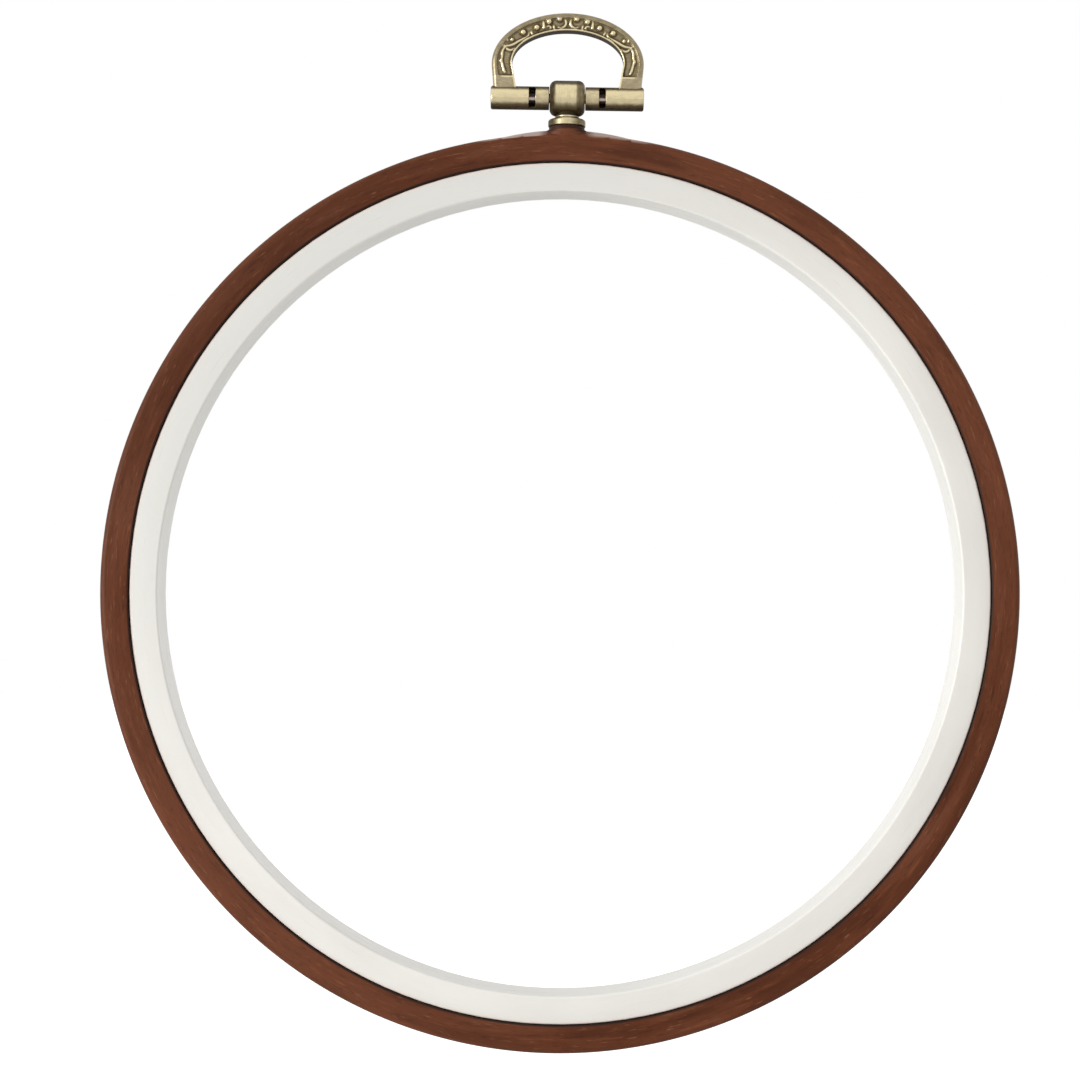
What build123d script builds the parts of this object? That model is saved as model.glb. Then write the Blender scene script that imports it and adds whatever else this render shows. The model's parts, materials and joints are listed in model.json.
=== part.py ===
from build123d import *
from math import sqrt
import os

# Embroidery hoop: a soft outer ring over a rigid inner ring, with a cast hanger on a swivel.
# Millimetres. The origin is the point of the hanger that a nail or hook bears on, at the top of
# the arch's opening. +X runs across the hoop, +Y runs to its back and +Z is up.

# Where things are
bar_drop = 12.7             # hanging point down to the axis of the hanger's cross bar
rim_drop = 94.3             # cross bar's axis down to the centre of the hoop

# Rigid inner ring
opening_radius = 76.0       # clear opening, a nominal six inch hoop
ring_radius = 81.45         # outside of the ring, which the soft ring sits on
inner_wall = 1.5
outer_wall = 1.3
front_web = 1.6
front_rise = 0.3            # how far the ring's crease stands proud of the soft ring
front_slope = 0.75          # how far the front face falls back to its outer edge
front_crown = 0.12          # how far the front face swells beyond a straight line
flange_reach = 1.6
flange_thickness = 1.2
crease_round = 0.4
front_edge_round = 0.35
mould_round = 0.25

# Soft outer ring
soft_gap = 0.1              # radial clearance between the two rings
soft_radius = 87.15
soft_depth = 8.0
soft_crown = 0.25           # how far the outside swells at mid depth
soft_outer_round = 1.2
soft_inner_round = 0.35

# Swell and boss of the soft ring round the screw, heights from the centre of the hoop
swell_top = 88.2
swell_half_length = 15.0
swell_section = 4.5         # radius of the swell's cross section at its top
boss_radius = 3.4
boss_top = 88.8
boss_round = 0.25
foot_radius = 3.95          # low step round the foot of the boss
foot_height = 88.0
foot_round = 0.2

# Screw, washer and collar
screw_radius = 1.5
screw_clearance = 0.1
head_radius = 3.2
head_height = 1.5
head_round = 0.5
slot_width = 0.8
slot_depth = 0.7
washer_radius = 3.6
washer_thickness = 0.5
pocket_radius = 3.9
pocket_floor = 85.2         # seat of the washer, from the centre of the hoop
collar_radius = 3.55
collar_neck = 2.3
collar_shoulder = 1.25      # height of the collar's rim
collar_slope = 0.4          # height of the slope from the rim up to the neck
collar_round = 0.4

# Knob and pin
knob_radius = 3.35
knob_half_length = 3.35
knob_round = 1.25
knob_foot_radius = 2.0
knob_seat = 3.55            # end of the knob's foot, below the bar's axis
thread_depth = 1.9
thread_end_gap = 0.2
pin_radius = 0.9
pin_half_length = 14.3
pin_clearance = 0.05

# Sleeves of the hanger
sleeve_radius = 2.2
sleeve_start = 3.45
sleeve_end = 14.55
sleeve_chamfer = 0.2
window_start = 6.05
window_width = 1.24
window_height = 3.7
window_floor = 1.2          # how far behind the bar's axis the windows reach

# Arch of the hanger, heights from the bar's axis
arch_thickness = 3.0
outer_half_width = 14.48
outer_rise = 9.7
outer_centre = 6.4
outer_turn = 4.0            # degrees that the outer curve runs on below its widest point
inner_half_width = 10.6
inner_rise = 6.1
inner_turn = 10.4
foot_outer = 14.1
foot_inner = 9.8
foot_base = 1.85
foot_top = 3.95
outer_edge_round = 0.85
border_outer = 1.0
border_inner = 0.28
recess_depth = 0.3
bead_radius = 0.56
bead_places = [(1.64, 14.9), (3.65, 14.35), (5.98, 13.2), (8.54, 12.25)]

# Places worked out from the dimensions
bar_z = -bar_drop
centre_z = bar_z - rim_drop
soft_front = -soft_depth / 2
soft_back = soft_depth / 2
ring_front = soft_front - front_rise
ring_back = soft_back + flange_thickness
bore_radius = ring_radius + soft_gap
hole_radius = screw_radius + screw_clearance
seat_z = bar_z - knob_seat
foot_z = centre_z + foot_height
boss_z = centre_z + boss_top
floor_z = centre_z + pocket_floor
head_z = floor_z - washer_thickness
inner_centre = bar_drop - inner_rise

# The hoop's section has the radius as its x and the depth as its y. The face planes look at the
# hoop from the front, and the section planes cut straight through the bar or the screw.
hoop_centre = (0, 0, centre_z)
hoop_axis = Axis(hoop_centre, (0, 1, 0))
hoop_section = Plane(origin=hoop_centre, x_dir=(0, 0, 1), z_dir=(-1, 0, 0))
hoop_face = Plane(origin=hoop_centre, x_dir=(1, 0, 0), z_dir=(0, -1, 0))
bar_face = Plane(origin=(0, 0, bar_z), x_dir=(1, 0, 0), z_dir=(0, -1, 0))
bar_section = Plane(origin=(0, 0, bar_z), z_dir=(1, 0, 0))


def corner(sketch, x, y):
    """The sketch's corner nearest to a point of its own plane."""
    return sketch.vertices().sort_by_distance((x, y))[0]


# Rigid inner ring: a channel open to the back, with the flange that the soft ring seats on.
front_edge = ring_front + front_slope
channel_inside = opening_radius + inner_wall
channel_outside = ring_radius - outer_wall
channel_floor = ring_front + front_slope / 2 + front_web
flange_radius = ring_radius + flange_reach
face_middle = (opening_radius + ring_radius) / 2

with BuildPart() as inner_ring:
    with BuildSketch(hoop_section) as ring_profile:
        with BuildLine():
            face = ThreePointArc(
                (opening_radius, ring_front),
                (face_middle, ring_front + front_slope / 2 - front_crown),
                (ring_radius, front_edge),
            )
            Polyline(
                face @ 1,
                (ring_radius, soft_back),
                (flange_radius, soft_back),
                (flange_radius, ring_back),
                (channel_outside, ring_back),
                (channel_outside, channel_floor),
                (channel_inside, channel_floor),
                (channel_inside, ring_back),
                (opening_radius, ring_back),
                face @ 0,
            )
        make_face()
        fillet(corner(ring_profile, opening_radius, ring_front), crease_round)
        fillet(corner(ring_profile, ring_radius, front_edge), front_edge_round)
        for radius in (flange_radius, channel_outside, channel_inside, opening_radius):
            fillet(corner(ring_profile, radius, ring_back), mould_round)
        for radius in (channel_outside, channel_inside):
            fillet(corner(ring_profile, radius, channel_floor), mould_round)
    revolve(axis=hoop_axis)
inner_ring.part.label = "inner_ring"
export_step(inner_ring.part, "parts/inner_ring.step")


# Soft outer ring: a rounded band with a swell along its top and a boss for the collar, bored
# radially for the screw, with a pocket in its bore for the screw's head and washer.
rim_at_swell_end = sqrt(soft_radius**2 - swell_half_length**2)
swell_drop = swell_top - rim_at_swell_end
swell_curve = (swell_half_length**2 + swell_drop**2) / (2 * swell_drop)
swell_axis = swell_top - swell_section
swell_reach = sqrt(swell_curve**2 - (swell_curve - swell_section) ** 2)

with BuildPart() as outer_ring:
    with BuildSketch(hoop_section) as soft_profile:
        with BuildLine():
            outside = ThreePointArc(
                (soft_radius - soft_crown, soft_front),
                (soft_radius, 0),
                (soft_radius - soft_crown, soft_back),
            )
            Polyline(outside @ 1, (0, soft_back), (0, soft_front), outside @ 0)
        make_face()
        for depth in (soft_front, soft_back):
            fillet(corner(soft_profile, soft_radius - soft_crown, depth), soft_outer_round)
    revolve(axis=hoop_axis)
    with BuildSketch(hoop_face):
        with BuildLine():
            crest = ThreePointArc((-swell_reach, swell_axis), (0, swell_top), (swell_reach, swell_axis))
            Line(crest @ 1, crest @ 0)
        make_face()
    revolve(axis=Axis((0, 0, centre_z + swell_axis), (1, 0, 0)))
    with BuildSketch(hoop_face):
        Circle(soft_radius + swell_section)
    extrude(amount=soft_depth / 2, both=True, mode=Mode.INTERSECT)
    with BuildSketch(Plane.XZ) as boss_profile:
        with BuildLine():
            Polyline(
                (0, centre_z + swell_axis),
                (foot_radius, centre_z + swell_axis),
                (foot_radius, foot_z),
                (boss_radius, foot_z),
                (boss_radius, boss_z),
                (0, boss_z),
                close=True,
            )
        make_face()
        fillet(corner(boss_profile, foot_radius, foot_z), foot_round)
        fillet(corner(boss_profile, boss_radius, boss_z), boss_round)
    revolve(axis=Axis.Z)
    with BuildSketch(hoop_face):
        Circle(bore_radius)
    extrude(amount=soft_depth, both=True, mode=Mode.SUBTRACT)
    bore_edges = outer_ring.edges().filter_by(GeomType.CIRCLE)
    fillet([edge for edge in bore_edges if abs(edge.radius - bore_radius) < 0.01], soft_inner_round)
    with BuildSketch(Plane.XY.offset(floor_z)):
        Circle(pocket_radius)
    extrude(amount=opening_radius - pocket_floor, mode=Mode.SUBTRACT)
    with Locations(Location((0, 0, boss_z))):
        Hole(hole_radius, depth=2 * (boss_top - pocket_floor))
outer_ring.part.label = "outer_ring"
export_step(outer_ring.part, "parts/outer_ring.step")


# Brass collar between the boss and the knob: a rounded rim that rises to a narrow neck.
neck_z = boss_z + collar_shoulder + collar_slope

with BuildPart() as ferrule:
    with BuildSketch(Plane.XZ) as collar_profile:
        with BuildLine():
            Polyline(
                (hole_radius, boss_z),
                (collar_radius, boss_z),
                (collar_radius, boss_z + collar_shoulder),
                (collar_neck, neck_z),
                (collar_neck, seat_z),
                (hole_radius, seat_z),
                close=True,
            )
        make_face()
        fillet(corner(collar_profile, collar_radius, boss_z + collar_shoulder), collar_round)
        fillet(corner(collar_profile, collar_radius, boss_z), collar_round / 2)
        fillet(corner(collar_profile, collar_neck, neck_z), collar_round / 2)
    revolve(axis=Axis.Z)
ferrule.part.label = "ferrule"
export_step(ferrule.part, "parts/ferrule.step")


# Washer under the screw's head.
with BuildPart() as head_washer:
    with BuildSketch(Plane.XY.offset(head_z)):
        Circle(washer_radius)
        Circle(hole_radius, mode=Mode.SUBTRACT)
    extrude(amount=washer_thickness)
head_washer.part.label = "head_washer"
export_step(head_washer.part, "parts/head_washer.step")


# Slotted screw from inside the soft ring up into the knob.
screw_length = seat_z + thread_depth - thread_end_gap - head_z

with BuildPart() as stud_screw:
    with BuildSketch(Plane.XY.offset(head_z)):
        Circle(head_radius)
    extrude(amount=-head_height)
    fillet(stud_screw.faces().sort_by(Axis.Z)[0].edges(), head_round)
    with BuildSketch(Plane.XY.offset(head_z)):
        Circle(screw_radius)
    extrude(amount=screw_length)
    chamfer(stud_screw.faces().sort_by(Axis.Z)[-1].edges(), thread_end_gap)
    with BuildSketch(Plane.XY.offset(head_z - head_height)):
        Rectangle(3 * head_radius, slot_width)
    extrude(amount=slot_depth, mode=Mode.SUBTRACT)
stud_screw.part.label = "stud_screw"
export_step(stud_screw.part, "parts/stud_screw.step")


# Knob: a barrel along the bar on a short round foot, bored across for the pin and from below
# for the screw.
with BuildPart() as swivel_knob:
    with BuildSketch(bar_face) as barrel_profile:
        Rectangle(2 * knob_half_length, knob_radius, align=(Align.CENTER, Align.MIN))
        for x in (-knob_half_length, knob_half_length):
            fillet(corner(barrel_profile, x, knob_radius), knob_round)
    revolve(axis=Axis((0, 0, bar_z), (1, 0, 0)))
    with BuildSketch(Plane.XY.offset(seat_z)):
        Circle(knob_foot_radius)
    extrude(amount=knob_seat)
    with Locations(bar_section):
        Hole(pin_radius + pin_clearance)
    with Locations(Plane(origin=(0, 0, seat_z), z_dir=(0, 0, -1))):
        Hole(screw_radius, depth=thread_depth)
swivel_knob.part.label = "swivel_knob"
export_step(swivel_knob.part, "parts/swivel_knob.step")


# Pin through the sleeves and the knob, staked in the sleeves.
with BuildPart() as cross_pin:
    with BuildSketch(bar_section):
        Circle(pin_radius)
    extrude(amount=pin_half_length, both=True)
cross_pin.part.label = "cross_pin"
export_step(cross_pin.part, "parts/cross_pin.step")


def arch_band(outer_inset, inner_inset, foot_height):
    """Outline of the arch, drawn in from both of its edges, with its legs cut at a height."""
    leg_run = (foot_inner + inner_inset, foot_base)
    outer = EllipticalCenterArc(
        (0, outer_centre),
        outer_half_width - outer_inset,
        outer_rise - outer_inset,
        start_angle=-outer_turn,
        arc_size=180 + 2 * outer_turn,
    )
    inner = EllipticalCenterArc(
        (0, inner_centre),
        inner_half_width + inner_inset,
        inner_rise + inner_inset,
        start_angle=-inner_turn,
        arc_size=180 + 2 * inner_turn,
    )
    knee = inner @ 0
    lean = (knee.X - leg_run[0]) / (knee.Y - leg_run[1])
    leg_inner = leg_run[0] + lean * (foot_height - foot_base)
    leg_outer = foot_outer - outer_inset
    for side, end in ((1, 0), (-1, 1)):
        Polyline(outer @ end, (side * leg_outer, foot_height), (side * leg_inner, foot_height), inner @ end)


def on_outside(edge):
    """Whether an edge of the arch's flat faces is on its outer outline."""
    middle = edge.center()
    return abs(middle.X) > foot_outer - border_outer or middle.Z > border_inner


# Hanger: the arch with its sunk and beaded front, and the two sleeves with their windows.
recess_face = bar_face.offset(arch_thickness / 2)
relief_face = bar_face.offset(arch_thickness / 2 - recess_depth)

with BuildPart() as bail:
    with BuildSketch(bar_face):
        with BuildLine():
            arch_band(0, 0, foot_base)
        make_face()
    extrude(amount=arch_thickness / 2, both=True)
    flat_edges = bail.faces().filter_by(Axis.Y).edges()
    fillet(flat_edges.filter_by(on_outside), outer_edge_round)
    with BuildSketch(recess_face):
        with BuildLine():
            arch_band(border_outer, border_inner, foot_top)
        make_face()
    extrude(amount=-recess_depth, mode=Mode.SUBTRACT)
    for side in (-1, 1):
        with Locations(relief_face):
            with Locations([(side * x, height) for x, height in bead_places]):
                Sphere(bead_radius)
    for side in (-1, 1):
        sleeve_plane = Plane(origin=(side * sleeve_start, 0, bar_z), z_dir=(side, 0, 0))
        with BuildSketch(sleeve_plane):
            Circle(sleeve_radius)
        extrude(amount=sleeve_end - sleeve_start)
        window_middle = side * (window_start + window_width / 2)
        with Locations((window_middle, window_floor, bar_z)):
            Box(
                window_width,
                sleeve_radius + window_floor,
                window_height,
                align=(Align.CENTER, Align.MAX, Align.CENTER),
                mode=Mode.SUBTRACT,
            )
    end_faces = bail.faces().filter_by(Axis.X).sort_by(Axis.X)
    chamfer(end_faces[0].edges() + end_faces[-1].edges(), sleeve_chamfer)
    with Locations(bar_section):
        Hole(pin_radius)
bail.part.label = "bail"
export_step(bail.part, "parts/bail.step")
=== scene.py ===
import bpy
import json
import math
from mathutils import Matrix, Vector

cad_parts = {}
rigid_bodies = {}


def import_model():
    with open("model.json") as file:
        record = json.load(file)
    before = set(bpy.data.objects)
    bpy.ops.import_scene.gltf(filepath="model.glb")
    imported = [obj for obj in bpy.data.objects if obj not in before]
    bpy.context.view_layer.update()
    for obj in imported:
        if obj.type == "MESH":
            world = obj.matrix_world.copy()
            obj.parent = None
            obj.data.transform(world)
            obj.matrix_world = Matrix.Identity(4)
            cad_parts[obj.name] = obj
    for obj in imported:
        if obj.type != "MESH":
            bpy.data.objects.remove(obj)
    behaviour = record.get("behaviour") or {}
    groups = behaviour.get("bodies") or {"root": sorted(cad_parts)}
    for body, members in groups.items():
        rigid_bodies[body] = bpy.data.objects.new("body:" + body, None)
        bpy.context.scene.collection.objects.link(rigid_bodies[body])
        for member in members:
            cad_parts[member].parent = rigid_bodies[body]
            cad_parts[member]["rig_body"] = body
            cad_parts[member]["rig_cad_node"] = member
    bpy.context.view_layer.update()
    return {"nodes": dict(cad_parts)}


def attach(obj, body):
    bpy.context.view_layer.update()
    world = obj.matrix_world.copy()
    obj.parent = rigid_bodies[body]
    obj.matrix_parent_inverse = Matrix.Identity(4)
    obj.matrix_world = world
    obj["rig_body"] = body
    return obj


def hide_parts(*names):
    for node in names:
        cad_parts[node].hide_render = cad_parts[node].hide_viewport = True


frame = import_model()
parts = frame["nodes"]
mm = 0.001


# Soft outer ring. A vinyl moulding, stretched over the rigid ring, with a dark wood grain printed
# and pressed into its skin. The grain runs round the hoop, in streaks that are long and narrow.
hoop_centre = (0, 0, -107.0 * mm)


def shader_node(tree, kind, sockets=None, **settings):
    """A new node of a tree, with its settings, and a value or a wire for some of its sockets."""
    made = tree.nodes.new(kind)
    for setting, value in settings.items():
        setattr(made, setting, value)
    for socket, value in (sockets or {}).items():
        if isinstance(value, bpy.types.NodeSocket):
            tree.links.new(value, made.inputs[socket])
        elif made.inputs[socket].type == "RGBA":
            made.inputs[socket].default_value = (*value, 1)
        else:
            made.inputs[socket].default_value = value
    return made


def work_out(tree, operation, first, second=0.0, third=0.0):
    """The result of a sum on one, two or three numbers or wires."""
    sockets = {0: first, 1: second, 2: third}
    return shader_node(tree, "ShaderNodeMath", sockets, operation=operation).outputs[0]


def vector_sum(tree, operation, first, second=(0, 0, 0)):
    """The result of a sum on one or two vectors, as a vector or as a length."""
    made = shader_node(tree, "ShaderNodeVectorMath", {0: first, 1: second}, operation=operation)
    return made.outputs["Value" if operation == "LENGTH" else "Vector"]


def spread(tree, value, low, high, start=0.0, end=1.0):
    """A value's run from low to high, as a run from start to end, and no further."""
    sockets = {"Value": value, "From Min": low, "From Max": high, "To Min": start, "To Max": end}
    return shader_node(tree, "ShaderNodeMapRange", sockets).outputs["Result"]


def lay_over(tree, share, under, over):
    """One colour laid over another, by a share that changes over the surface."""
    sockets = {0: share, 6: under, 7: over}
    return shader_node(tree, "ShaderNodeMix", sockets, data_type="RGBA").outputs[2]


def colour_scale(tree, value, stops):
    """Colours picked along a scale by a value."""
    ramp = shader_node(tree, "ShaderNodeValToRGB", {"Fac": value})
    scale = ramp.color_ramp.elements
    while len(scale) < len(stops):
        scale.new(0.5)
    for mark, (place, colour) in zip(scale, stops):
        mark.position = place
        mark.color = (*colour, 1)
    return ramp.outputs["Color"]


def new_group(name, inputs, outputs):
    """An empty shader node group, with its input and output nodes."""
    group = bpy.data.node_groups.new(name, "ShaderNodeTree")
    for socket, (kind, value) in inputs.items():
        made = group.interface.new_socket(socket, in_out="INPUT", socket_type=kind)
        made.default_value = value
    for socket, kind in outputs.items():
        group.interface.new_socket(socket, in_out="OUTPUT", socket_type=kind)
    given = group.nodes.new("NodeGroupInput").outputs
    result = group.nodes.new("NodeGroupOutput").inputs
    return group, given, result


def use_group(tree, group, sockets):
    """A shader node group placed in a material, as its outputs."""
    return shader_node(tree, "ShaderNodeGroup", sockets, node_tree=group).outputs


def new_finish(name):
    """A new material, as its node tree and its surface shader."""
    material = bpy.data.materials.new(name)
    material.use_nodes = True
    return material, material.node_tree, material.node_tree.nodes["Principled BSDF"]


def put_on(piece, material):
    """The material as the only one of a piece."""
    piece.data.materials.clear()
    piece.data.materials.append(material)


NUMBER = "NodeSocketFloat"
VECTOR = "NodeSocketVector"
COLOUR = "NodeSocketColor"

ring_streaks, given, result = new_group(
    "Streaks round the hoop",
    {
        "Streaks per turn": (NUMBER, 10.0),
        "Streaks per metre": (NUMBER, 2000.0),
        "Detail": (NUMBER, 3.0),
    },
    {"Streak": NUMBER, "Radius": NUMBER},
)
tree = ring_streaks
place = shader_node(tree, "ShaderNodeTexCoord").outputs["Object"]
from_centre = vector_sum(tree, "SUBTRACT", place, hoop_centre)
flattened = vector_sum(tree, "MULTIPLY", from_centre, (1, 0, 1))
radius = vector_sum(tree, "LENGTH", flattened)
outwards = vector_sum(tree, "NORMALIZE", flattened)
turned = shader_node(
    tree,
    "ShaderNodeVectorMath",
    {0: outwards, "Scale": given["Streaks per turn"]},
    operation="SCALE",
)
turned_parts = shader_node(tree, "ShaderNodeSeparateXYZ", {0: turned.outputs[0]}).outputs
depth = shader_node(tree, "ShaderNodeSeparateXYZ", {0: from_centre}).outputs["Y"]
across = work_out(tree, "MULTIPLY", radius, given["Streaks per metre"])
along_depth = work_out(tree, "MULTIPLY", depth, given["Streaks per metre"])
unrolled = shader_node(
    tree, "ShaderNodeCombineXYZ", {0: turned_parts["X"], 1: across, 2: turned_parts["Z"]}
)
streak_noise = shader_node(
    tree,
    "ShaderNodeTexNoise",
    {"Vector": unrolled.outputs[0], "W": along_depth, "Scale": 1.0, "Detail": given["Detail"]},
    noise_dimensions="4D",
)
tree.links.new(streak_noise.outputs["Fac"], result["Streak"])
tree.links.new(radius, result["Radius"])


def streaks(tree, per_turn, per_metre, detail):
    """Streaks round the hoop, by how many there are in a turn and across a metre."""
    sockets = {"Streaks per turn": per_turn, "Streaks per metre": per_metre, "Detail": detail}
    return use_group(tree, ring_streaks, sockets)


def pick_only(*chosen):
    """Only these objects selected, and the last of them the active one."""
    bpy.ops.object.select_all(action="DESELECT")
    for thing in chosen:
        thing.select_set(True)
    bpy.context.view_layer.objects.active = chosen[-1]


def in_edit(*steps):
    """The steps done on all of the active piece in edit mode."""
    bpy.ops.object.mode_set(mode="EDIT")
    bpy.ops.mesh.select_all(action="SELECT")
    for step in steps:
        step()
    bpy.ops.object.mode_set(mode="OBJECT")


weld_distance = 0.001 * mm


def welded_copy(part):
    """A copy of a part with a mesh of its own, its doubled points merged."""
    made = part.copy()
    made.data = part.data.copy()
    made.parent = None
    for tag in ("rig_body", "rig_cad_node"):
        del made[tag]
    bpy.context.scene.collection.objects.link(made)
    pick_only(made)
    in_edit(lambda: bpy.ops.mesh.remove_doubles(threshold=weld_distance))
    return made


# The swell and its boss, cut out of the ring between two planes through the hoop's centre.
swell_reach = math.radians(10.6)
turned_from = math.radians(10.9)

swell = welded_copy(parts["outer_ring"])


def keep_this_side(side):
    """The swell kept up to its end on one side, and the rest of the ring beyond it cut away."""
    bpy.ops.mesh.select_all(action="SELECT")
    bpy.ops.mesh.bisect(
        plane_co=hoop_centre,
        plane_no=(side * math.cos(swell_reach), 0, -math.sin(swell_reach)),
        clear_outer=True,
    )


in_edit(lambda: keep_this_side(1), lambda: keep_this_side(-1))
bpy.ops.mesh.customdata_custom_splitnormals_clear()

# The rest of the ring, a section with a crowned outside, drawn as lines and arcs and then turned
# round the hoop.
bore_edge = 81.55 * mm
rim_radius = 87.145 * mm
half_depth = 4.0 * mm
crown_swell = 0.25 * mm
bore_round = 0.35 * mm
rim_round = 1.2 * mm
bore_steps = 6
rim_steps = 12
crown_steps = 16
steps_round_hoop = 360
crown_radius = (half_depth**2 + crown_swell**2) / (2 * crown_swell)
crown_centre = rim_radius - crown_radius
round_depth = half_depth - rim_round
round_centre = crown_centre + math.sqrt((crown_radius - rim_round) ** 2 - round_depth**2)
half_crown_turn = math.atan2(round_depth, round_centre - crown_centre)
rim_turn = math.pi / 2 - half_crown_turn
face_width = round_centre - bore_edge - bore_round


def draw_arc(centre_radius, centre_depth, turn, steps):
    """The section's line carried on by an arc about this centre."""
    centre = (0, centre_depth, hoop_centre[2] + centre_radius)
    bpy.ops.mesh.spin(steps=steps, angle=turn, center=centre, axis=(1, 0, 0))


def draw_line(outwards, backwards):
    """The section's line carried on straight, outwards and to the back."""
    bpy.ops.mesh.extrude_region_move(TRANSFORM_OT_translate={"value": (0, backwards, outwards)})


bpy.ops.object.select_all(action="DESELECT")
start = (0, bore_round - half_depth, hoop_centre[2] + bore_edge)
bpy.ops.mesh.primitive_plane_add(size=mm, location=start)
bpy.ops.object.transform_apply(location=True)
in_edit(
    lambda: bpy.ops.mesh.merge(type="CENTER"),
    lambda: draw_arc(bore_edge + bore_round, bore_round - half_depth, math.pi / 2, bore_steps),
    lambda: draw_line(face_width, 0),
    lambda: draw_arc(round_centre, -round_depth, rim_turn, rim_steps),
    lambda: draw_arc(crown_centre, 0, 2 * half_crown_turn, crown_steps),
    lambda: draw_arc(round_centre, round_depth, rim_turn, rim_steps),
    lambda: draw_line(-face_width, 0),
    lambda: draw_arc(bore_edge + bore_round, half_depth - bore_round, math.pi / 2, bore_steps),
    lambda: draw_line(0, 2 * (bore_round - half_depth)),
    lambda: bpy.ops.mesh.select_all(action="SELECT"),
    lambda: bpy.ops.mesh.remove_doubles(threshold=weld_distance),
    lambda: bpy.ops.transform.rotate(
        value=turned_from, orient_axis="Y", center_override=hoop_centre
    ),
    lambda: bpy.ops.mesh.spin(
        steps=steps_round_hoop,
        angle=2 * (math.pi - turned_from),
        center=hoop_centre,
        axis=(0, 1, 0),
    ),
)
ring_skin = bpy.context.object
pick_only(swell, ring_skin)
bpy.ops.object.join()
ring_skin.name = "wood_look_skin"


def close_gap(side):
    """The two open ends that face each other on one side of the swell, bridged."""
    bpy.ops.mesh.select_all(action="DESELECT")
    bpy.ops.mesh.select_non_manifold()
    bpy.ops.object.mode_set(mode="OBJECT")
    points = ring_skin.data.vertices
    for edge in ring_skin.data.edges:
        edge.select = edge.select and points[edge.vertices[0]].co.x * side > 0
    for point in points:
        point.select = point.select and point.co.x * side > 0
    bpy.ops.object.mode_set(mode="EDIT")
    bpy.ops.mesh.bridge_edge_loops()


in_edit(
    lambda: close_gap(1),
    lambda: close_gap(-1),
    lambda: bpy.ops.mesh.select_all(action="SELECT"),
    lambda: bpy.ops.mesh.normals_make_consistent(inside=False),
)
bpy.ops.object.shade_smooth_by_angle(angle=math.radians(30))

screw_place = (0, 0, -18.8 * mm)
boss_radius = 4.0 * mm
grain_dark = (0.050, 0.0120, 0.0036)
grain_middle = (0.097, 0.0240, 0.0068)
grain_light = (0.160, 0.0500, 0.0190)
faded_and_sheen_brown = (0.188, 0.0640, 0.0310)
glint_tan = (0.215, 0.0880, 0.0420)
pore_brown = (0.034, 0.0100, 0.0040)
painted_shadow_dark = (0.018, 0.0070, 0.0040)
rim_shade_olive = (0.060, 0.0370, 0.0160)
painted_swell_highlight_pale = (0.54, 0.41, 0.365)
vinyl_roughness = 0.46

wood_look, tree, surface = new_finish("Vinyl with a pressed wood grain")
tone = streaks(tree, 3.4, 330, 2)
grain = streaks(tree, 12, 1500, 5)
pores = streaks(tree, 55, 4200, 2)
glints = streaks(tree, 34, 3600, 1)
radius = grain["Radius"]
place = shader_node(tree, "ShaderNodeTexCoord").outputs["Object"]
place_parts = shader_node(tree, "ShaderNodeSeparateXYZ", {0: place}).outputs
colour = colour_scale(
    tree,
    grain["Streak"],
    [(0.28, grain_dark), (0.44, grain_middle), (0.57, grain_middle), (0.74, grain_light)],
)

# Tones that change slowly over the hoop: faded and darker patches at random, a painted sheen low on
# the left and high on the right, painted shade high on the left, and a painted sheen on the outer
# part of the face. Then the pores and glints of the grain.
above_centre = work_out(tree, "SUBTRACT", place_parts["Z"], hoop_centre[2])
up_right = work_out(tree, "ADD", place_parts["X"], above_centre)
up_left = work_out(tree, "SUBTRACT", above_centre, place_parts["X"])
# Painted sheen, low on the left and high on the right, laid on with the faded patches.
painted_sheen_low_left = spread(tree, up_right, -85 * mm, -122 * mm, 0.0, 0.5)
painted_sheen_upper_right = spread(tree, up_right, 55 * mm, 105 * mm, 0.0, 0.3)
faded_patches = spread(tree, tone["Streak"], 0.46, 0.66, 0.0, 0.45)
faded_and_painted_sheen = work_out(tree, "MAXIMUM", work_out(tree, "MAXIMUM", painted_sheen_low_left, painted_sheen_upper_right), faded_patches)
colour = lay_over(tree, faded_and_painted_sheen, colour, faded_and_sheen_brown)
# Painted shade high on the left, with darker patches at random.
painted_shade_top_left = spread(tree, up_left, 88 * mm, 122 * mm, 0.0, 0.4)
darker_patches = spread(tree, tone["Streak"], 0.48, 0.34, 0.0, 0.55)
colour = lay_over(tree, work_out(tree, "MAXIMUM", painted_shade_top_left, darker_patches), colour, grain_dark)
# A painted sheen on the outer part of the face.
painted_sheen_outwards = spread(tree, radius, bore_edge + 3 * mm, bore_edge + 5 * mm, 0.0, 0.22)
colour = lay_over(tree, painted_sheen_outwards, colour, grain_light)
colour = lay_over(tree, spread(tree, pores["Streak"], 0.58, 0.72, 0.0, 0.5), colour, pore_brown)
colour = lay_over(tree, spread(tree, glints["Streak"], 0.64, 0.74, 0.0, 0.6), colour, glint_tan)

# The rim, with painted olive shade along its outer edge, and a painted highlight on the swell's
# rounded top beside its boss.
to_screw = vector_sum(tree, "LENGTH", vector_sum(tree, "SUBTRACT", place, screw_place))
near_screw = spread(tree, to_screw, 18.5 * mm, 12.5 * mm)
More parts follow.
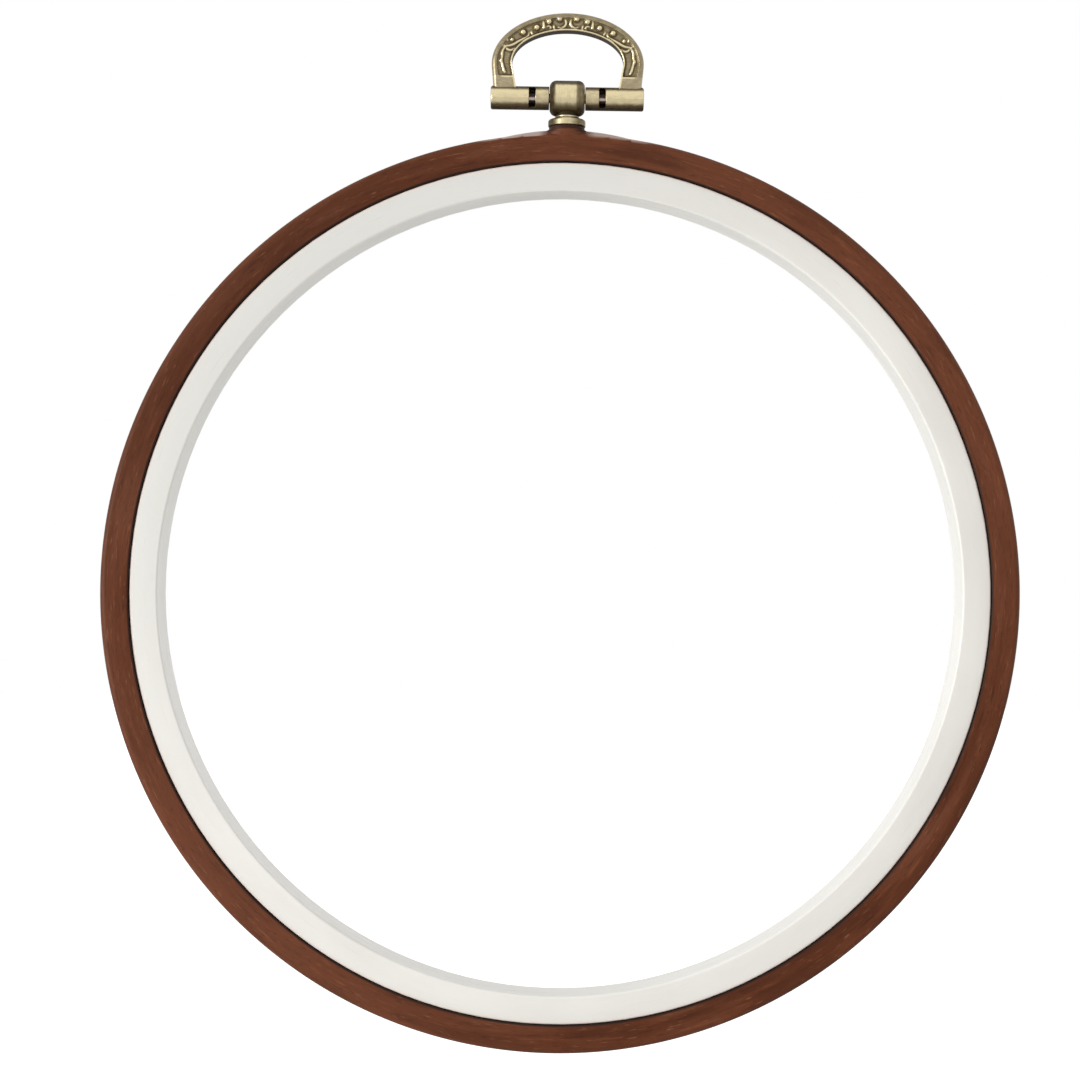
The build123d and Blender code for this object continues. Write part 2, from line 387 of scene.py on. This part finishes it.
# Painted olive shade along the rim's outer edge, away from the screw.
painted_rim_shade = spread(tree, radius, rim_radius - 0.395 * mm, rim_radius - 0.095 * mm, 0.0, 0.75)
away_from_screw = work_out(tree, "SUBTRACT", 1.0, near_screw)
colour = lay_over(tree, work_out(tree, "MULTIPLY", painted_rim_shade, away_from_screw), colour, rim_shade_olive)
sideways = work_out(tree, "ABSOLUTE", place_parts["X"])
beside_boss = work_out(tree, "MULTIPLY", near_screw, spread(tree, sideways, 3.6 * mm, 5.4 * mm))
from_middle = work_out(tree, "ABSOLUTE", place_parts["Y"])
on_the_rim = spread(tree, radius, 85.2 * mm, 85.8 * mm)
past_the_round = spread(tree, from_middle, half_depth - 0.25 * mm, half_depth - 0.6 * mm, 0.0, 0.9)
over_the_rim = work_out(tree, "MULTIPLY", on_the_rim, past_the_round)
# A painted highlight, pale pink, on the swell's rounded top beside the boss.
painted_swell_highlight = work_out(tree, "MULTIPLY", beside_boss, over_the_rim)
colour = lay_over(tree, painted_swell_highlight, colour, painted_swell_highlight_pale)

# Painted shade on the boss, under the collar and down its sides, and a painted shadow line where
# the ring meets the white one.
up_the_boss = work_out(tree, "SUBTRACT", place_parts["Z"], screw_place[2])
under_collar = spread(tree, up_the_boss, -0.65 * mm, 0.1 * mm, 0.0, 0.82)
# Painted shade on the lower sides of the boss.
painted_boss_side_shade = work_out(
    tree,
    "MULTIPLY",
    spread(tree, up_the_boss, -0.85 * mm, -0.65 * mm),
    spread(tree, sideways, 1.2 * mm, 2.6 * mm, 0.0, 0.85),
)
from_screw = vector_sum(tree, "LENGTH", vector_sum(tree, "MULTIPLY", place, (1, 1, 0)))
on_boss = spread(tree, from_screw, boss_radius + 0.1 * mm, boss_radius - 0.03 * mm)
painted_boss_shade = work_out(tree, "MULTIPLY", on_boss, work_out(tree, "MAXIMUM", under_collar, painted_boss_side_shade))
colour = lay_over(tree, painted_boss_shade, colour, painted_shadow_dark)
# A painted shadow line at the bore, where the ring meets the white one.
painted_bore_shadow = spread(tree, radius, bore_edge + 0.42 * mm, bore_edge + 0.12 * mm)
colour = lay_over(tree, painted_bore_shadow, colour, painted_shadow_dark)
tree.links.new(colour, surface.inputs["Base Color"])
grooves = work_out(tree, "MULTIPLY_ADD", pores["Streak"], -0.45, grain["Streak"])
pressed = shader_node(
    tree, "ShaderNodeBump", {"Height": grooves, "Strength": 0.5, "Distance": 0.10 * mm}
)
tree.links.new(pressed.outputs["Normal"], surface.inputs["Normal"])
satin = spread(tree, grain["Streak"], 0.3, 0.7, vinyl_roughness + 0.1, vinyl_roughness - 0.06)
tree.links.new(satin, surface.inputs["Roughness"])
surface.inputs["Specular IOR Level"].default_value = 0.15
put_on(ring_skin, wood_look)
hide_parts("outer_ring")
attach(ring_skin, "soft_ring")


# Screw and washer. A slotted pan head screw and its washer, turned and stamped in steel and nickel
# plated. They sit in a pocket of the soft ring and hold the collar and the knob.
worked_metal, given, result = new_group(
    "Worked metal",
    {
        "Wear and painted light": (NUMBER, 0.8),
        "Lines per metre": (VECTOR, (1000, 1000, 1000)),
        "Tarnish": (COLOUR, (0, 0, 0, 1)),
        "Aged": (COLOUR, (0, 0, 0, 1)),
        "Worn": (COLOUR, (0, 0, 0, 1)),
        "Bright": (COLOUR, (0, 0, 0, 1)),
    },
    {"Colour": COLOUR, "Roughness": NUMBER, "Metallic": NUMBER, "Normal": VECTOR},
)
tree = worked_metal
place = shader_node(tree, "ShaderNodeTexCoord").outputs["Object"]
stretched = vector_sum(tree, "MULTIPLY", place, given["Lines per metre"])
lines = shader_node(tree, "ShaderNodeTexNoise", {"Vector": stretched, "Scale": 1.0, "Detail": 3.0})
patches = shader_node(tree, "ShaderNodeTexNoise", {"Vector": place, "Scale": 900.0, "Detail": 4.0})
by_lines = spread(tree, lines.outputs["Fac"], 0.3, 0.7, -0.07, 0.07)
by_patches = spread(tree, patches.outputs["Fac"], 0.3, 0.7, -0.07, 0.07)
# Wear here is the metal's own wear, and for the brass parts also painted highlight and shade.
wear_and_painted_light = work_out(tree, "ADD", work_out(tree, "ADD", given["Wear and painted light"], by_lines), by_patches)
colour = lay_over(tree, spread(tree, wear_and_painted_light, 0.0, 0.4), given["Tarnish"], given["Aged"])
colour = lay_over(tree, spread(tree, wear_and_painted_light, 0.4, 0.65), colour, given["Worn"])
colour = lay_over(tree, spread(tree, wear_and_painted_light, 0.65, 1.0), colour, given["Bright"])
scored = shader_node(
    tree,
    "ShaderNodeBump",
    {"Height": lines.outputs["Fac"], "Strength": 0.25, "Distance": 0.01 * mm},
)
tree.links.new(colour, result["Colour"])
tree.links.new(spread(tree, wear_and_painted_light, 0.0, 1.0, 0.55, 0.27), result["Roughness"])
tree.links.new(spread(tree, wear_and_painted_light, 0.03, 0.3), result["Metallic"])
tree.links.new(scored.outputs["Normal"], result["Normal"])


def metal_finish(name, colours, lines_per_metre, wear_and_painted_light=0.9):
    """A worked metal, with its colours from tarnish to bright, and the inputs of its metal."""
    material, tree, surface = new_finish(name)
    worked = shader_node(tree, "ShaderNodeGroup", {}, node_tree=worked_metal)
    for socket, colour in zip(("Tarnish", "Aged", "Worn", "Bright"), colours):
        worked.inputs[socket].default_value = (*colour, 1)
    worked.inputs["Lines per metre"].default_value = lines_per_metre
    worked.inputs["Wear and painted light"].default_value = wear_and_painted_light
    tree.links.new(worked.outputs["Colour"], surface.inputs["Base Color"])
    tree.links.new(worked.outputs["Roughness"], surface.inputs["Roughness"])
    tree.links.new(worked.outputs["Metallic"], surface.inputs["Metallic"])
    tree.links.new(worked.outputs["Normal"], surface.inputs["Normal"])
    surface.inputs["Specular IOR Level"].default_value = 0.1
    return material, tree, worked.inputs


steel = [(0.05, 0.045, 0.04), (0.20, 0.19, 0.175), (0.40, 0.385, 0.36), (0.66, 0.65, 0.62)]
turned_steel = metal_finish("Nickel plated steel", steel, (900, 900, 6000))[0]
put_on(parts["stud_screw"], turned_steel)
put_on(parts["head_washer"], turned_steel)


# Collar. A turned brass ferrule between the ring's boss and the knob, with a rounded rim and a
# narrow neck. It is antiqued with the hanger, and its colour carries a painted highlight down the
# middle and painted shade to its sides, deepest on the left.
brass = [(0.030, 0.019, 0.008), (0.200, 0.158, 0.086), (0.380, 0.318, 0.204), (0.78, 0.665, 0.405)]
collar_radius = 3.55 * mm

collar_brass, tree, metal = metal_finish("Turned brass of the collar", brass, (500, 500, 9000))
place = shader_node(tree, "ShaderNodeTexCoord").outputs["Object"]
place_parts = shader_node(tree, "ShaderNodeSeparateXYZ", {0: place}).outputs
# Painted highlight down the collar's middle, painted shade to its sides.
to_right = work_out(tree, "DIVIDE", place_parts["X"], collar_radius)
left_fade = spread(tree, to_right, -0.75, -0.25, 0.12, 0.86)
right_fade = spread(tree, to_right, 0.15, 0.6, 0.86, 0.42)
rubbing_and_painted_light = work_out(tree, "MINIMUM", left_fade, right_fade)
tree.links.new(rubbing_and_painted_light, metal["Wear and painted light"])
put_on(parts["ferrule"], collar_brass)


# Knob. A turned brass barrel, bored across for the pin and tapped from below for the screw. Its
# colour carries a painted highlight across its middle, and painted shade underneath, on its top and
# at its ends.
knob_half_length = 3.35 * mm
knob_radius = 3.35 * mm
bar_height = -12.7 * mm

# Painted light round a bar, by height: painted shade underneath and along the top, a painted
# highlight across the middle.
bar_painted_light, given, result = new_group(
    "Painted light round a bar", {"Radius": (NUMBER, 1.0), "Drop": (NUMBER, 0.0)}, {"Wear and painted light": NUMBER}
)
tree = bar_painted_light
place = shader_node(tree, "ShaderNodeTexCoord").outputs["Object"]
height = shader_node(tree, "ShaderNodeSeparateXYZ", {0: place}).outputs["Z"]
above_bar = work_out(tree, "SUBTRACT", height, bar_height)
share_of_radius = work_out(tree, "DIVIDE", above_bar, given["Radius"])
up_the_bar = spread(tree, work_out(tree, "SUBTRACT", share_of_radius, given["Drop"]), -1.0, 1.0)
rubbing_and_painted_light = colour_scale(
    tree,
    up_the_bar,
    [
        (0.0, (0.0,) * 3),
        (0.062, (0.05,) * 3),
        (0.13, (0.3,) * 3),
        (0.205, (0.64,) * 3),
        (0.26, (0.93,) * 3),
        (0.34, (1.0,) * 3),
        (0.52, (0.94,) * 3),
        (0.72, (1.05,) * 3),
        (0.785, (0.8,) * 3),
        (0.845, (0.42,) * 3),
        (0.90, (0.1,) * 3),
    ],
)
tree.links.new(rubbing_and_painted_light, result["Wear and painted light"])

knob_brass, tree, metal = metal_finish("Turned brass of the knob", brass, (9000, 500, 500))
place = shader_node(tree, "ShaderNodeTexCoord").outputs["Object"]
place_parts = shader_node(tree, "ShaderNodeSeparateXYZ", {0: place}).outputs
# Painted shade at the knob's ends, deepest at the left, and on its top.
to_right = work_out(tree, "DIVIDE", place_parts["X"], knob_half_length)
left_end = spread(tree, to_right, -0.78, -0.62, 0.02, 1.0)
right_end = spread(tree, to_right, 0.6, 0.47, 0.42, 1.0)
above_bar = work_out(tree, "SUBTRACT", place_parts["Z"], bar_height)
upwards = work_out(tree, "DIVIDE", above_bar, knob_radius)
painted_top_shade = spread(tree, upwards, 0.84, 0.6, 0.25, 1.0)
painted_end_shade = work_out(tree, "MULTIPLY", work_out(tree, "MINIMUM", left_end, right_end), painted_top_shade)
round_it = use_group(tree, bar_painted_light, {"Radius": knob_radius, "Drop": 0.1})["Wear and painted light"]
tree.links.new(work_out(tree, "MULTIPLY", round_it, painted_end_shade), metal["Wear and painted light"])
put_on(parts["swivel_knob"], knob_brass)


# Pin. A plain drawn steel wire through the sleeves and the knob, seen in the sleeves' windows.
# Its drawing lines run along it.
glint_height = bar_height - 0.28 * mm
pin_steel = [(0.06, 0.04, 0.035), (0.22, 0.16, 0.14), (0.45, 0.35, 0.31), (0.72, 0.58, 0.52)]
drawn_steel, tree, metal = metal_finish("Drawn steel of the pin", pin_steel, (500, 9000, 9000))
place = shader_node(tree, "ShaderNodeTexCoord").outputs["Object"]
height = shader_node(tree, "ShaderNodeSeparateXYZ", {0: place}).outputs["Z"]
# A painted highlight in a narrow band a little below the bar's axis.
from_glint = work_out(tree, "ABSOLUTE", work_out(tree, "SUBTRACT", height, glint_height))
tree.links.new(spread(tree, from_glint, 0.42 * mm, 0.12 * mm, 0.05, 0.85), metal["Wear and painted light"])
put_on(parts["cross_pin"], drawn_steel)


# Hanger. A die casting in zinc, brass plated and antiqued: an arch with a sunk face of beads and
# leaf scrolls, on two sleeves with a window each. The relief is drawn on one half and mirrored,
# then all of it is melted into one skin with soft edges, as a casting has.
arch_face = -1.2 * mm
casting_skin = 0.12 * mm

# Each scroll has its points as (across, above the bar, half width) in millimetres.
scrolls = [
    [
        (0.62, 14.95, 0.10),
        (0.42, 14.15, 0.19),
        (0.72, 13.45, 0.21),
        (1.34, 13.16, 0.19),
        (1.95, 13.32, 0.12),
    ],
    [(4.72, 14.85, 0.09), (4.66, 13.9, 0.19), (4.58, 13.05, 0.24)],
    [(2.78, 13.6, 0.15), (2.62, 12.9, 0.2)],
    [(4.13, 13.35, 0.12), (3.68, 13.47, 0.16), (3.3, 13.2, 0.16), (3.46, 12.85, 0.12)],
    [(7.04, 12.5, 0.12), (6.93, 12.16, 0.17), (6.72, 11.85, 0.17)],
    [
        (7.38, 12.2, 0.1),
        (7.62, 11.55, 0.17),
        (8.33, 11.06, 0.2),
        (9.38, 10.52, 0.22),
        (10.2, 10.02, 0.22),
        (11.0, 9.7, 0.2),
        (11.75, 9.6, 0.18),
    ],
    [
        (11.75, 9.3, 0.16),
        (11.42, 8.95, 0.2),
        (10.92, 8.82, 0.2),
        (10.48, 8.95, 0.17),
        (10.1, 9.25, 0.12),
    ],
    [
        (13.3, 8.8, 0.14),
        (13.1, 9.25, 0.2),
        (12.72, 9.58, 0.2),
        (12.25, 9.65, 0.2),
        (11.8, 9.5, 0.2),
    ],
    [
        (11.83, 9.46, 0.19),
        (12.23, 9.02, 0.2),
        (12.44, 8.5, 0.19),
        (12.47, 7.8, 0.18),
        (12.54, 7.3, 0.18),
        (12.66, 6.9, 0.3),
        (12.47, 6.3, 0.2),
        (12.28, 5.6, 0.21),
        (12.1, 5.0, 0.22),
        (11.85, 4.5, 0.15),
    ],
]
small_beads = [(10.65, 10.83, 0.36), (11.55, 10.75, 0.27)]


def draw_scroll(points):
    """A raised line on the arch's face, thick and thin by its points, as a closed mesh."""
    bpy.ops.object.select_all(action="DESELECT")
    bpy.ops.curve.primitive_bezier_curve_add(enter_editmode=True)
    bpy.ops.curve.select_all(action="SELECT")
    bpy.ops.curve.delete(type="VERT")
    for across, above, _ in points:
        bpy.ops.curve.vertex_add(location=(across * mm, arch_face, bar_height + above * mm))
    bpy.ops.object.mode_set(mode="OBJECT")
    line = bpy.context.object
    for knot, (_, _, half_width) in zip(line.data.splines[0].bezier_points, points):
        knot.radius = half_width
    line.data.bevel_depth = mm
    line.data.bevel_resolution = 4
    line.data.use_fill_caps = True
    bpy.ops.object.convert(target="MESH")
    return bpy.context.object


relief = [draw_scroll(points) for points in scrolls]
for across, above, half_width in small_beads:
    bpy.ops.object.select_all(action="DESELECT")
    bpy.ops.mesh.primitive_uv_sphere_add(
        segments=24,
        ring_count=16,
        radius=half_width * mm,
        location=(across * mm, arch_face, bar_height + above * mm),
    )
    bpy.ops.object.transform_apply(location=True)
    relief.append(bpy.context.object)
pick_only(*relief)
bpy.ops.object.join()
bpy.ops.object.transform_apply(location=True, rotation=True, scale=True)
right_relief = bpy.context.object
pick_only(right_relief)
bpy.ops.object.duplicate()
left_relief = bpy.context.object
in_edit(
    lambda: bpy.ops.transform.resize(value=(-1, 1, 1), center_override=(0, 0, 0)),
    lambda: bpy.ops.mesh.flip_normals(),
)
hanger = welded_copy(parts["bail"])
pick_only(left_relief, right_relief, hanger)
bpy.ops.object.join()
hanger.name = "hanger_casting"
skin = hanger.modifiers.new("Cast skin", "REMESH")
skin.mode = "VOXEL"
skin.voxel_size = casting_skin
bpy.ops.object.modifier_apply(modifier=skin.name)
softened = hanger.modifiers.new("Soft edges", "SMOOTH")
softened.factor = 0.5
softened.iterations = 2
bpy.ops.object.modifier_apply(modifier=softened.name)
bpy.ops.object.shade_smooth()

# How open or how hollow the skin is at each point, for wear and tarnish.
openness_range = 0.22
hanger.data.color_attributes.new("openness", "FLOAT_COLOR", "POINT")
bpy.ops.paint.vertex_color_dirt(
    blur_iterations=2,
    clean_angle=math.pi / 2 + openness_range,
    dirt_angle=math.pi / 2 - openness_range,
    normalize=False,
)

sleeve_radius = 2.2 * mm
arch_centre = bar_height + 6.4 * mm
recess_half_width = 13.48 * mm
recess_rise = 8.7 * mm
opening_centre = bar_height + 6.6 * mm
opening_half_width = 10.6 * mm
opening_rise = 6.1 * mm
foot_top = bar_height + 4.05 * mm


def oval_reach(tree, place, half_width, rise, centre):
    """How far a point is from an oval's centre, as a share of the way to the oval itself."""
    share = (1 / half_width, 0, 1 / rise)
    sockets = {"Vector": place, "Scale": share, "Location": (0, 0, -centre / rise)}
    return vector_sum(tree, "LENGTH", shader_node(tree, "ShaderNodeMapping", sockets).outputs[0])


hanger_brass, tree, metal = metal_finish(
    "Antiqued brass plate of the hanger", brass, (900, 6000, 6000)
)
coordinates = shader_node(tree, "ShaderNodeTexCoord").outputs
place = coordinates["Object"]
place_parts = shader_node(tree, "ShaderNodeSeparateXYZ", {0: place}).outputs
facing = shader_node(tree, "ShaderNodeSeparateXYZ", {0: coordinates["Normal"]}).outputs
openness = shader_node(tree, "ShaderNodeAttribute", attribute_name="openness").outputs["Fac"]
forward = work_out(tree, "MULTIPLY", place_parts["Y"], -1.0)
recess_reach = oval_reach(tree, place, recess_half_width, recess_rise, arch_centre)
opening_reach = oval_reach(tree, place, opening_half_width, opening_rise, opening_centre)
in_recess = spread(tree, recess_reach, 1.01, 0.96)

# The arch from its sunk floor to its polished beads and lines, with a painted highlight along its
# raised inner border and on its outer round, then the hollows, and painted shade on the opening's
# wall.
raised = spread(tree, forward, 1.22 * mm, 1.36 * mm)
arch_wear_and_painted_light = spread(tree, raised, 0.0, 1.0, 0.49, 0.54)
polish = work_out(tree, "MULTIPLY", spread(tree, openness, 0.07, 0.13), in_recess)
polish = work_out(tree, "MULTIPLY", polish, raised)
arch_wear_and_painted_light = work_out(tree, "MULTIPLY_ADD", polish, 0.55, arch_wear_and_painted_light)
# A painted highlight along the raised inner border.
painted_inner_highlight = spread(tree, opening_reach, 1.055, 1.035, 0.0, 0.25)
arch_wear_and_painted_light = work_out(tree, "MULTIPLY_ADD", painted_inner_highlight, raised, arch_wear_and_painted_light)
# A painted highlight on the outer round, where the face turns away to the sides and top.
turned_away = work_out(tree, "MULTIPLY", facing["Y"], -1.0)
past_recess = spread(tree, recess_reach, 1.02, 1.05)
rounded_off = spread(tree, turned_away, 0.85, 0.3, 0.0, 0.16)
painted_outer_highlight = work_out(tree, "MULTIPLY", rounded_off, past_recess)
arch_wear_and_painted_light = work_out(tree, "ADD", arch_wear_and_painted_light, painted_outer_highlight)
foot = spread(tree, place_parts["Z"], foot_top, foot_top - 0.15 * mm, 0.0, 0.1)
arch_wear_and_painted_light = work_out(tree, "ADD", arch_wear_and_painted_light, foot)
hollow = spread(tree, openness, 0.056, 0.018, 0.0, 0.38)
hollow = work_out(tree, "MULTIPLY", hollow, spread(tree, recess_reach, 0.99, 0.93, 0.3, 1.0))
arch_wear_and_painted_light = work_out(tree, "SUBTRACT", arch_wear_and_painted_light, hollow)
opening_wall = spread(tree, opening_reach, 1.035, 1.012)
behind_face = spread(tree, forward, 1.42 * mm, 1.25 * mm)
shaded_wall = work_out(tree, "MULTIPLY", opening_wall, behind_face)
arch_wear_and_painted_light = work_out(tree, "MULTIPLY_ADD", shaded_wall, -1.0, arch_wear_and_painted_light)

# The sleeves, with painted shade underneath and along their top and a painted highlight across
# their middle, a little darker towards their inner ends, and with painted shade inside their
# windows.
from_bar = vector_sum(tree, "SUBTRACT", place, (0, 0, bar_height))
bar_reach = vector_sum(tree, "LENGTH", vector_sum(tree, "MULTIPLY", from_bar, (0, 1, 1)))
on_sleeve = spread(tree, bar_reach, sleeve_radius + 0.12 * mm, sleeve_radius + 0.03 * mm)
sleeve_painted_light = use_group(tree, bar_painted_light, {"Radius": sleeve_radius})["Wear and painted light"]
sideways = work_out(tree, "ABSOLUTE", place_parts["X"])
inner_end = spread(tree, sideways, 6.0 * mm, 7.3 * mm, 0.86, 1.0)
sleeve_painted_light = work_out(tree, "MULTIPLY", sleeve_painted_light, inner_end)
# Painted shade inside the windows.
inside_windows = spread(tree, bar_reach, sleeve_radius - 0.3 * mm, sleeve_radius - 0.1 * mm)
sleeve_painted_light = work_out(tree, "MULTIPLY", sleeve_painted_light, inside_windows)
# The arch's wear and painted light, and the sleeves' painted light.
wear_and_painted_light = shader_node(tree, "ShaderNodeMix", {0: on_sleeve, 2: arch_wear_and_painted_light, 3: sleeve_painted_light}).outputs[0]
tree.links.new(wear_and_painted_light, metal["Wear and painted light"])
put_on(hanger, hanger_brass)
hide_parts("bail")
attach(hanger, "hanger")


# Rigid inner ring. An injection moulding in hard white plastic, satin with a little gloss, that
# snaps into the soft ring from behind with the cloth between them.
plastic_white = (0.80, 0.782, 0.73)
plastic_shade = (0.755, 0.737, 0.685)
plastic_painted_shade = (0.665, 0.655, 0.615)
plastic_bounce_pink = (0.80, 0.70, 0.63)
plastic_roughness = 0.32
ring_edge = 81.45 * mm

white_plastic, tree, surface = new_finish("White moulded plastic")
flow = streaks(tree, 4, 180, 3)
rubbing_and_painted_light = streaks(tree, 14, 3800, 3)
colour = lay_over(tree, spread(tree, flow["Streak"], 0.4, 0.66), plastic_white, plastic_shade)
coordinates = shader_node(tree, "ShaderNodeTexCoord").outputs
place_parts = shader_node(tree, "ShaderNodeSeparateXYZ", {0: coordinates["Object"]}).outputs
facing = shader_node(tree, "ShaderNodeSeparateXYZ", {0: coordinates["Normal"]}).outputs
# Painted shade on the front face, growing towards the upper left.
above_centre = work_out(tree, "SUBTRACT", place_parts["Z"], hoop_centre[2])
up_left = work_out(tree, "SUBTRACT", above_centre, place_parts["X"])
to_upper_left = spread(tree, up_left, 5 * mm, 108 * mm)
painted_face_shade = work_out(tree, "MULTIPLY", to_upper_left, spread(tree, facing["Y"], -0.75, -0.95))
colour = lay_over(tree, painted_face_shade, colour, plastic_painted_shade)
# A painted pink of light thrown back from the brown ring, along the white ring's outer edge at the
# front.
at_edge = spread(tree, flow["Radius"], ring_edge - 0.75 * mm, ring_edge - 0.25 * mm, 0.0, 0.9)
painted_bounce_pink = work_out(tree, "MULTIPLY", at_edge, spread(tree, facing["Y"], -0.1, -0.5))
tree.links.new(lay_over(tree, painted_bounce_pink, colour, plastic_bounce_pink), surface.inputs["Base Color"])
gloss = spread(tree, rubbing_and_painted_light["Streak"], 0.3, 0.7, plastic_roughness - 0.06, plastic_roughness + 0.1)
tree.links.new(gloss, surface.inputs["Roughness"])
moulded = shader_node(
    tree, "ShaderNodeBump", {"Height": flow["Streak"], "Strength": 0.2, "Distance": 0.15 * mm}
)
tree.links.new(moulded.outputs["Normal"], surface.inputs["Normal"])
surface.inputs["Subsurface Weight"].default_value = 0.12
surface.inputs["Subsurface Radius"].default_value = (1.2, 1.1, 1.0)
surface.inputs["Subsurface Scale"].default_value = 1.2 * mm
put_on(parts["inner_ring"], white_plastic)


# Studio. The hoop hangs over a plain pale floor, in soft light from all round and a little more
# from the left. What the camera and the gloss see round it is plain white.
floor_height = -0.42
floor_half_side = 6.0
room_light = 0.76
floor_lift = 0.66

bpy.ops.object.select_all(action="DESELECT")
bpy.ops.mesh.primitive_plane_add(size=2 * floor_half_side, location=(0, 0, floor_height))
bpy.ops.object.transform_apply(location=True)
studio_floor = bpy.context.object
studio_floor.name = "studio_floor"
pale_floor, tree, surface = new_finish("Pale studio floor")
surface.inputs["Base Color"].default_value = (0.85, 0.85, 0.85, 1)
surface.inputs["Roughness"].default_value = 0.9
surface.inputs["Specular IOR Level"].default_value = 0.0
seen = shader_node(tree, "ShaderNodeLightPath")
lift = work_out(tree, "MULTIPLY", seen.outputs["Is Camera Ray"], floor_lift)
surface.inputs["Emission Color"].default_value = (1, 1, 1, 1)
tree.links.new(lift, surface.inputs["Emission Strength"])
put_on(studio_floor, pale_floor)

world = bpy.data.worlds.new("Studio")
world.use_nodes = True
bpy.context.scene.world = world
tree = world.node_tree
room = tree.nodes["Background"]
room.inputs["Color"].default_value = (1, 1, 1, 1)
room.inputs["Strength"].default_value = room_light
white = shader_node(tree, "ShaderNodeBackground", {"Color": (1, 1, 1), "Strength": 1.0})
seen = shader_node(tree, "ShaderNodeLightPath")
seen_white = work_out(
    tree,
    "MAXIMUM",
    work_out(tree, "MAXIMUM", seen.outputs["Is Camera Ray"], seen.outputs["Is Glossy Ray"]),
    seen.outputs["Is Transmission Ray"],
)
either = shader_node(
    tree, "ShaderNodeMixShader", {0: seen_white, 1: room.outputs[0], 2: white.outputs[0]}
)
tree.links.new(either.outputs[0], tree.nodes["World Output"].inputs["Surface"])

lamp_place = Vector((-2.4, -1.7, 0.0))
to_hoop = Vector(hoop_centre) - lamp_place
bpy.ops.object.light_add(type="AREA", location=lamp_place)
left_lamp = bpy.context.object
left_lamp.name = "left_lamp"
left_lamp.data.size = 0.8
left_lamp.data.energy = 48.0
left_lamp.rotation_euler = to_hoop.to_track_quat("-Z", "Y").to_euler()


# Camera. It stands in front of the hoop's centre, at 420 mm from the rings' front, with a long
# lens that is shifted a little, and it leans so that the hanger stands to the right.
camera_distance = 424.3 * mm
lean = math.radians(-0.84)

bpy.ops.object.camera_add(
    location=(0, -camera_distance, hoop_centre[2]), rotation=(math.radians(90), lean, 0)
)
camera = bpy.context.object
camera.name = "camera"
camera.data.sensor_width = 36.0
camera.data.lens = 74.23
camera.data.shift_x = -0.0185
camera.data.shift_y = 0.0515
bpy.context.scene.camera = camera
bpy.context.scene.view_settings.view_transform = "Standard"
